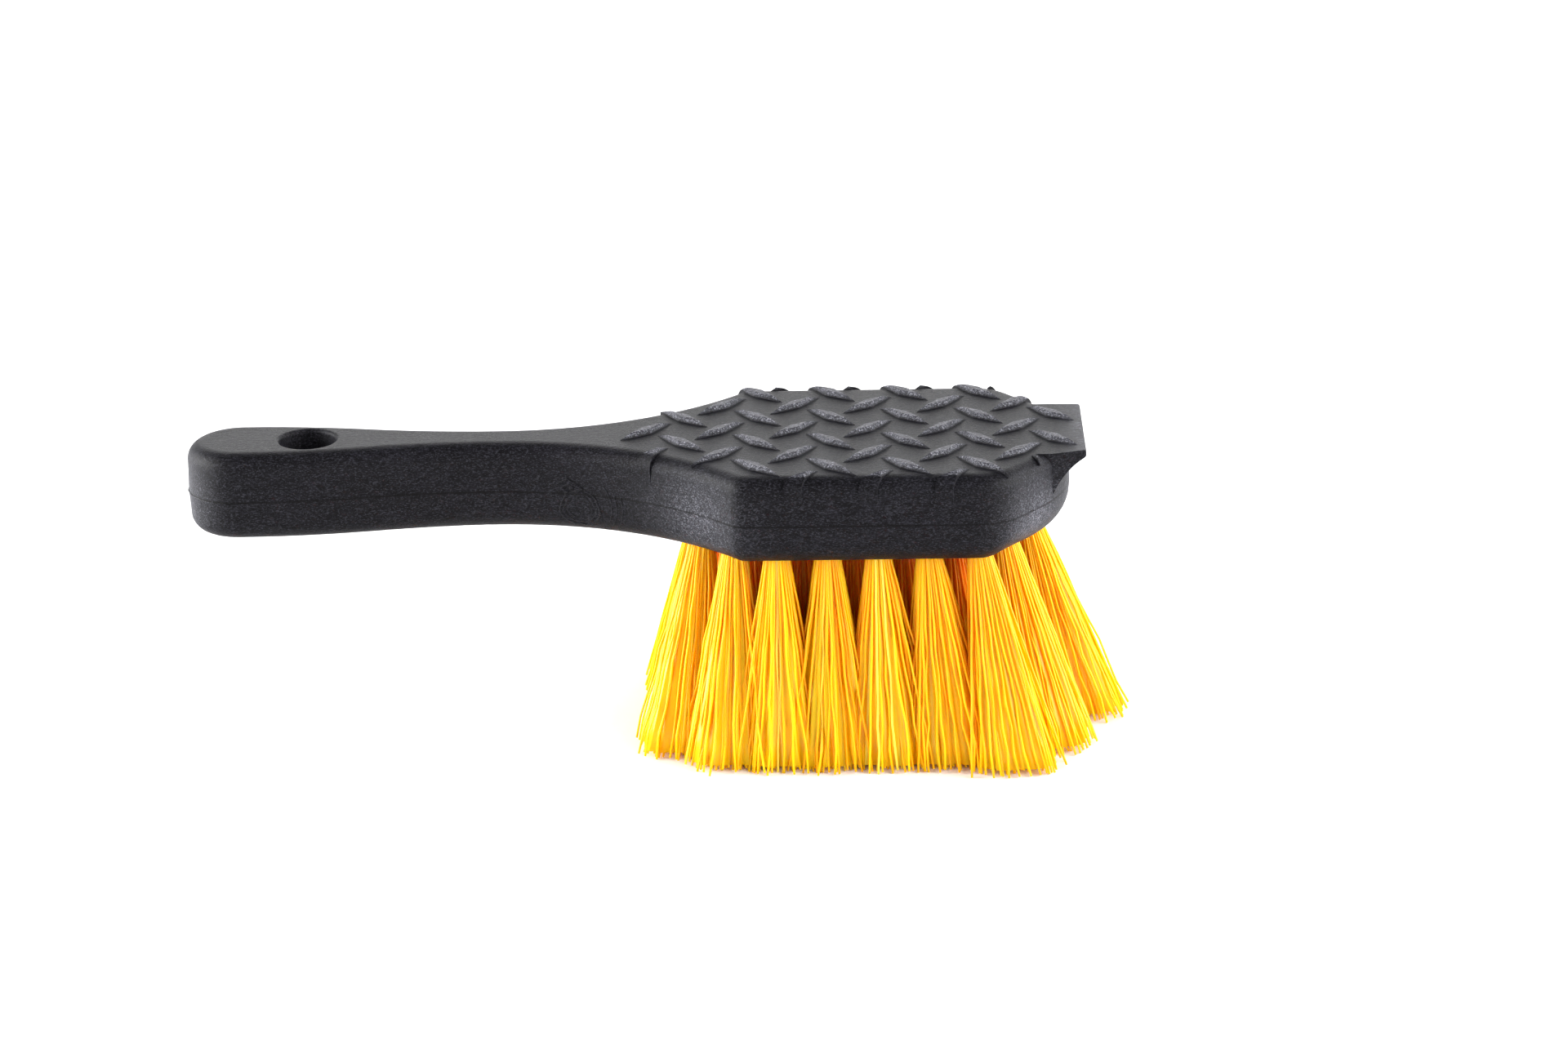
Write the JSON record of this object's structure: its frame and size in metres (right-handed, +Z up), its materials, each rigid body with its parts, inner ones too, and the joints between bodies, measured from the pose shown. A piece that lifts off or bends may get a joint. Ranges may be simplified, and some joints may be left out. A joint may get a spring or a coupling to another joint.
{
  "type": "wheel brush",
  "caption": "Short-handled wheel cleaning brush: moulded block with non-slip tread, scraper lip and hanging hole, and stiff synthetic bristle tufts stapled into its underside.",
  "frame": {"origin": "centre of the brush's footprint on the trim plane, where the bristles end", "axes": "+X from the handle to the nose, +Z up out of the top face, along the hanging hole"},
  "size_m": [0.2265, 0.076, 0.0738],
  "materials": {
    "moulded_plastic": "black structural-foam plastic, satin, with faint grey swirls and scuffs on the tread",
    "bristle": "yellow polypropylene filament, semi-gloss, slightly translucent",
    "staple_wire": "flat tinned steel wire"
  },
  "bodies": {
    "block": {"brush_block": "moulded_plastic", "staples_front_outer": "staple_wire", "staples_front_inner": "staple_wire", "staples_centre": "staple_wire", "staples_rear_inner": "staple_wire", "staples_rear_outer": "staple_wire"},
    "tuft_front_outer_1": {"tuft_front_outer_1": "bristle"},
    "tuft_front_outer_2": {"tuft_front_outer_2": "bristle"},
    "tuft_front_outer_3": {"tuft_front_outer_3": "bristle"},
    "tuft_front_outer_4": {"tuft_front_outer_4": "bristle"},
    "tuft_front_outer_5": {"tuft_front_outer_5": "bristle"},
    "tuft_front_outer_6": {"tuft_front_outer_6": "bristle"},
    "tuft_front_inner_1": {"tuft_front_inner_1": "bristle"},
    "tuft_front_inner_2": {"tuft_front_inner_2": "bristle"},
    "tuft_front_inner_3": {"tuft_front_inner_3": "bristle"},
    "tuft_front_inner_4": {"tuft_front_inner_4": "bristle"},
    "tuft_front_inner_5": {"tuft_front_inner_5": "bristle"},
    "tuft_front_inner_6": {"tuft_front_inner_6": "bristle"},
    "tuft_front_inner_7": {"tuft_front_inner_7": "bristle"},
    "tuft_centre_1": {"tuft_centre_1": "bristle"},
    "tuft_centre_2": {"tuft_centre_2": "bristle"},
    "tuft_centre_3": {"tuft_centre_3": "bristle"},
    "tuft_centre_4": {"tuft_centre_4": "bristle"},
    "tuft_centre_5": {"tuft_centre_5": "bristle"},
    "tuft_centre_6": {"tuft_centre_6": "bristle"},
    "tuft_centre_7": {"tuft_centre_7": "bristle"},
    "tuft_rear_inner_1": {"tuft_rear_inner_1": "bristle"},
    "tuft_rear_inner_2": {"tuft_rear_inner_2": "bristle"},
    "tuft_rear_inner_3": {"tuft_rear_inner_3": "bristle"},
    "tuft_rear_inner_4": {"tuft_rear_inner_4": "bristle"},
    "tuft_rear_inner_5": {"tuft_rear_inner_5": "bristle"},
    "tuft_rear_inner_6": {"tuft_rear_inner_6": "bristle"},
    "tuft_rear_inner_7": {"tuft_rear_inner_7": "bristle"},
    "tuft_rear_outer_1": {"tuft_rear_outer_1": "bristle"},
    "tuft_rear_outer_2": {"tuft_rear_outer_2": "bristle"},
    "tuft_rear_outer_3": {"tuft_rear_outer_3": "bristle"},
    "tuft_rear_outer_4": {"tuft_rear_outer_4": "bristle"},
    "tuft_rear_outer_5": {"tuft_rear_outer_5": "bristle"},
    "tuft_rear_outer_6": {"tuft_rear_outer_6": "bristle"}
  },
  "joints": [
    {"name": "bend_front_outer_1", "type": "hinge", "parent": "block", "child": "tuft_front_outer_1", "pos_m": [0.0191, -0.021, 0.0511], "axis": [0, 1, 0], "range_deg": [-18, 18], "stiffness_Nm_per_rad": 0.03, "deforming": ["tuft_front_outer_1"]},
    {"name": "bend_front_outer_2", "type": "hinge", "parent": "block", "child": "tuft_front_outer_2", "pos_m": [0.0291, -0.0258, 0.0511], "axis": [0, 1, 0], "range_deg": [-18, 18], "stiffness_Nm_per_rad": 0.03, "deforming": ["tuft_front_outer_2"]},
    {"name": "bend_front_outer_3", "type": "hinge", "parent": "block", "child": "tuft_front_outer_3", "pos_m": [0.0411, -0.0258, 0.0511], "axis": [0, 1, 0], "range_deg": [-18, 18], "stiffness_Nm_per_rad": 0.03, "deforming": ["tuft_front_outer_3"]},
    {"name": "bend_front_outer_4", "type": "hinge", "parent": "block", "child": "tuft_front_outer_4", "pos_m": [0.0531, -0.0258, 0.0511], "axis": [0, 1, 0], "range_deg": [-18, 18], "stiffness_Nm_per_rad": 0.03, "deforming": ["tuft_front_outer_4"]},
    {"name": "bend_front_outer_5", "type": "hinge", "parent": "block", "child": "tuft_front_outer_5", "pos_m": [0.0651, -0.0258, 0.0511], "axis": [0, 1, 0], "range_deg": [-18, 18], "stiffness_Nm_per_rad": 0.03, "deforming": ["tuft_front_outer_5"]},
    {"name": "bend_front_outer_6", "type": "hinge", "parent": "block", "child": "tuft_front_outer_6", "pos_m": [0.0771, -0.0258, 0.0511], "axis": [0, 1, 0], "range_deg": [-18, 18], "stiffness_Nm_per_rad": 0.03, "deforming": ["tuft_front_outer_6"]},
    {"name": "bend_front_inner_1", "type": "hinge", "parent": "block", "child": "tuft_front_inner_1", "pos_m": [0.0111, -0.0129, 0.0511], "axis": [0, 1, 0], "range_deg": [-18, 18], "stiffness_Nm_per_rad": 0.03, "deforming": ["tuft_front_inner_1"]},
    {"name": "bend_front_inner_2", "type": "hinge", "parent": "block", "child": "tuft_front_inner_2", "pos_m": [0.0231, -0.0129, 0.0511], "axis": [0, 1, 0], "range_deg": [-18, 18], "stiffness_Nm_per_rad": 0.03, "deforming": ["tuft_front_inner_2"]},
    {"name": "bend_front_inner_3", "type": "hinge", "parent": "block", "child": "tuft_front_inner_3", "pos_m": [0.0351, -0.0129, 0.0511], "axis": [0, 1, 0], "range_deg": [-18, 18], "stiffness_Nm_per_rad": 0.03, "deforming": ["tuft_front_inner_3"]},
    {"name": "bend_front_inner_4", "type": "hinge", "parent": "block", "child": "tuft_front_inner_4", "pos_m": [0.0471, -0.0129, 0.0511], "axis": [0, 1, 0], "range_deg": [-18, 18], "stiffness_Nm_per_rad": 0.03, "deforming": ["tuft_front_inner_4"]},
    {"name": "bend_front_inner_5", "type": "hinge", "parent": "block", "child": "tuft_front_inner_5", "pos_m": [0.0591, -0.0129, 0.0511], "axis": [0, 1, 0], "range_deg": [-18, 18], "stiffness_Nm_per_rad": 0.03, "deforming": ["tuft_front_inner_5"]},
    {"name": "bend_front_inner_6", "type": "hinge", "parent": "block", "child": "tuft_front_inner_6", "pos_m": [0.0711, -0.0129, 0.0511], "axis": [0, 1, 0], "range_deg": [-18, 18], "stiffness_Nm_per_rad": 0.03, "deforming": ["tuft_front_inner_6"]},
    {"name": "bend_front_inner_7", "type": "hinge", "parent": "block", "child": "tuft_front_inner_7", "pos_m": [0.0831, -0.0129, 0.0511], "axis": [0, 1, 0], "range_deg": [-18, 18], "stiffness_Nm_per_rad": 0.03, "deforming": ["tuft_front_inner_7"]},
    {"name": "bend_centre_1", "type": "hinge", "parent": "block", "child": "tuft_centre_1", "pos_m": [0.0171, 0, 0.0511], "axis": [0, 1, 0], "range_deg": [-18, 18], "stiffness_Nm_per_rad": 0.03, "deforming": ["tuft_centre_1"]},
    {"name": "bend_centre_2", "type": "hinge", "parent": "block", "child": "tuft_centre_2", "pos_m": [0.0291, 0, 0.0511], "axis": [0, 1, 0], "range_deg": [-18, 18], "stiffness_Nm_per_rad": 0.03, "deforming": ["tuft_centre_2"]},
    {"name": "bend_centre_3", "type": "hinge", "parent": "block", "child": "tuft_centre_3", "pos_m": [0.0411, 0, 0.0511], "axis": [0, 1, 0], "range_deg": [-18, 18], "stiffness_Nm_per_rad": 0.03, "deforming": ["tuft_centre_3"]},
    {"name": "bend_centre_4", "type": "hinge", "parent": "block", "child": "tuft_centre_4", "pos_m": [0.0531, 0, 0.0511], "axis": [0, 1, 0], "range_deg": [-18, 18], "stiffness_Nm_per_rad": 0.03, "deforming": ["tuft_centre_4"]},
    {"name": "bend_centre_5", "type": "hinge", "parent": "block", "child": "tuft_centre_5", "pos_m": [0.0651, 0, 0.0511], "axis": [0, 1, 0], "range_deg": [-18, 18], "stiffness_Nm_per_rad": 0.03, "deforming": ["tuft_centre_5"]},
    {"name": "bend_centre_6", "type": "hinge", "parent": "block", "child": "tuft_centre_6", "pos_m": [0.0771, 0, 0.0511], "axis": [0, 1, 0], "range_deg": [-18, 18], "stiffness_Nm_per_rad": 0.03, "deforming": ["tuft_centre_6"]},
    {"name": "bend_centre_7", "type": "hinge", "parent": "block", "child": "tuft_centre_7", "pos_m": [0.0891, 0, 0.0511], "axis": [0, 1, 0], "range_deg": [-18, 18], "stiffness_Nm_per_rad": 0.03, "deforming": ["tuft_centre_7"]},
    {"name": "bend_rear_inner_1", "type": "hinge", "parent": "block", "child": "tuft_rear_inner_1", "pos_m": [0.0111, 0.0129, 0.0511], "axis": [0, 1, 0], "range_deg": [-18, 18], "stiffness_Nm_per_rad": 0.03, "deforming": ["tuft_rear_inner_1"]},
    {"name": "bend_rear_inner_2", "type": "hinge", "parent": "block", "child": "tuft_rear_inner_2", "pos_m": [0.0231, 0.0129, 0.0511], "axis": [0, 1, 0], "range_deg": [-18, 18], "stiffness_Nm_per_rad": 0.03, "deforming": ["tuft_rear_inner_2"]},
    {"name": "bend_rear_inner_3", "type": "hinge", "parent": "block", "child": "tuft_rear_inner_3", "pos_m": [0.0351, 0.0129, 0.0511], "axis": [0, 1, 0], "range_deg": [-18, 18], "stiffness_Nm_per_rad": 0.03, "deforming": ["tuft_rear_inner_3"]},
    {"name": "bend_rear_inner_4", "type": "hinge", "parent": "block", "child": "tuft_rear_inner_4", "pos_m": [0.0471, 0.0129, 0.0511], "axis": [0, 1, 0], "range_deg": [-18, 18], "stiffness_Nm_per_rad": 0.03, "deforming": ["tuft_rear_inner_4"]},
    {"name": "bend_rear_inner_5", "type": "hinge", "parent": "block", "child": "tuft_rear_inner_5", "pos_m": [0.0591, 0.0129, 0.0511], "axis": [0, 1, 0], "range_deg": [-18, 18], "stiffness_Nm_per_rad": 0.03, "deforming": ["tuft_rear_inner_5"]},
    {"name": "bend_rear_inner_6", "type": "hinge", "parent": "block", "child": "tuft_rear_inner_6", "pos_m": [0.0711, 0.0129, 0.0511], "axis": [0, 1, 0], "range_deg": [-18, 18], "stiffness_Nm_per_rad": 0.03, "deforming": ["tuft_rear_inner_6"]},
    {"name": "bend_rear_inner_7", "type": "hinge", "parent": "block", "child": "tuft_rear_inner_7", "pos_m": [0.0831, 0.0129, 0.0511], "axis": [0, 1, 0], "range_deg": [-18, 18], "stiffness_Nm_per_rad": 0.03, "deforming": ["tuft_rear_inner_7"]},
    {"name": "bend_rear_outer_1", "type": "hinge", "parent": "block", "child": "tuft_rear_outer_1", "pos_m": [0.0191, 0.021, 0.0511], "axis": [0, 1, 0], "range_deg": [-18, 18], "stiffness_Nm_per_rad": 0.03, "deforming": ["tuft_rear_outer_1"]},
    {"name": "bend_rear_outer_2", "type": "hinge", "parent": "block", "child": "tuft_rear_outer_2", "pos_m": [0.0291, 0.0258, 0.0511], "axis": [0, 1, 0], "range_deg": [-18, 18], "stiffness_Nm_per_rad": 0.03, "deforming": ["tuft_rear_outer_2"]},
    {"name": "bend_rear_outer_3", "type": "hinge", "parent": "block", "child": "tuft_rear_outer_3", "pos_m": [0.0411, 0.0258, 0.0511], "axis": [0, 1, 0], "range_deg": [-18, 18], "stiffness_Nm_per_rad": 0.03, "deforming": ["tuft_rear_outer_3"]},
    {"name": "bend_rear_outer_4", "type": "hinge", "parent": "block", "child": "tuft_rear_outer_4", "pos_m": [0.0531, 0.0258, 0.0511], "axis": [0, 1, 0], "range_deg": [-18, 18], "stiffness_Nm_per_rad": 0.03, "deforming": ["tuft_rear_outer_4"]},
    {"name": "bend_rear_outer_5", "type": "hinge", "parent": "block", "child": "tuft_rear_outer_5", "pos_m": [0.0651, 0.0258, 0.0511], "axis": [0, 1, 0], "range_deg": [-18, 18], "stiffness_Nm_per_rad": 0.03, "deforming": ["tuft_rear_outer_5"]},
    {"name": "bend_rear_outer_6", "type": "hinge", "parent": "block", "child": "tuft_rear_outer_6", "pos_m": [0.0771, 0.0258, 0.0511], "axis": [0, 1, 0], "range_deg": [-18, 18], "stiffness_Nm_per_rad": 0.03, "deforming": ["tuft_rear_outer_6"]}
  ],
  "couplings": [
    {"joint": "bend_front_outer_1", "follows": "bend_centre_4", "ratio": 1},
    {"joint": "bend_front_outer_2", "follows": "bend_centre_4", "ratio": 1},
    {"joint": "bend_front_outer_3", "follows": "bend_centre_4", "ratio": 1},
    {"joint": "bend_front_outer_4", "follows": "bend_centre_4", "ratio": 1},
    {"joint": "bend_front_outer_5", "follows": "bend_centre_4", "ratio": 1},
    {"joint": "bend_front_outer_6", "follows": "bend_centre_4", "ratio": 1},
    {"joint": "bend_front_inner_1", "follows": "bend_centre_4", "ratio": 1},
    {"joint": "bend_front_inner_2", "follows": "bend_centre_4", "ratio": 1},
    {"joint": "bend_front_inner_3", "follows": "bend_centre_4", "ratio": 1},
    {"joint": "bend_front_inner_4", "follows": "bend_centre_4", "ratio": 1},
    {"joint": "bend_front_inner_5", "follows": "bend_centre_4", "ratio": 1},
    {"joint": "bend_front_inner_6", "follows": "bend_centre_4", "ratio": 1},
    {"joint": "bend_front_inner_7", "follows": "bend_centre_4", "ratio": 1},
    {"joint": "bend_centre_1", "follows": "bend_centre_4", "ratio": 1},
    {"joint": "bend_centre_2", "follows": "bend_centre_4", "ratio": 1},
    {"joint": "bend_centre_3", "follows": "bend_centre_4", "ratio": 1},
    {"joint": "bend_centre_5", "follows": "bend_centre_4", "ratio": 1},
    {"joint": "bend_centre_6", "follows": "bend_centre_4", "ratio": 1},
    {"joint": "bend_centre_7", "follows": "bend_centre_4", "ratio": 1},
    {"joint": "bend_rear_inner_1", "follows": "bend_centre_4", "ratio": 1},
    {"joint": "bend_rear_inner_2", "follows": "bend_centre_4", "ratio": 1},
    {"joint": "bend_rear_inner_3", "follows": "bend_centre_4", "ratio": 1},
    {"joint": "bend_rear_inner_4", "follows": "bend_centre_4", "ratio": 1},
    {"joint": "bend_rear_inner_5", "follows": "bend_centre_4", "ratio": 1},
    {"joint": "bend_rear_inner_6", "follows": "bend_centre_4", "ratio": 1},
    {"joint": "bend_rear_inner_7", "follows": "bend_centre_4", "ratio": 1},
    {"joint": "bend_rear_outer_1", "follows": "bend_centre_4", "ratio": 1},
    {"joint": "bend_rear_outer_2", "follows": "bend_centre_4", "ratio": 1},
    {"joint": "bend_rear_outer_3", "follows": "bend_centre_4", "ratio": 1},
    {"joint": "bend_rear_outer_4", "follows": "bend_centre_4", "ratio": 1},
    {"joint": "bend_rear_outer_5", "follows": "bend_centre_4", "ratio": 1},
    {"joint": "bend_rear_outer_6", "follows": "bend_centre_4", "ratio": 1}
  ]
}
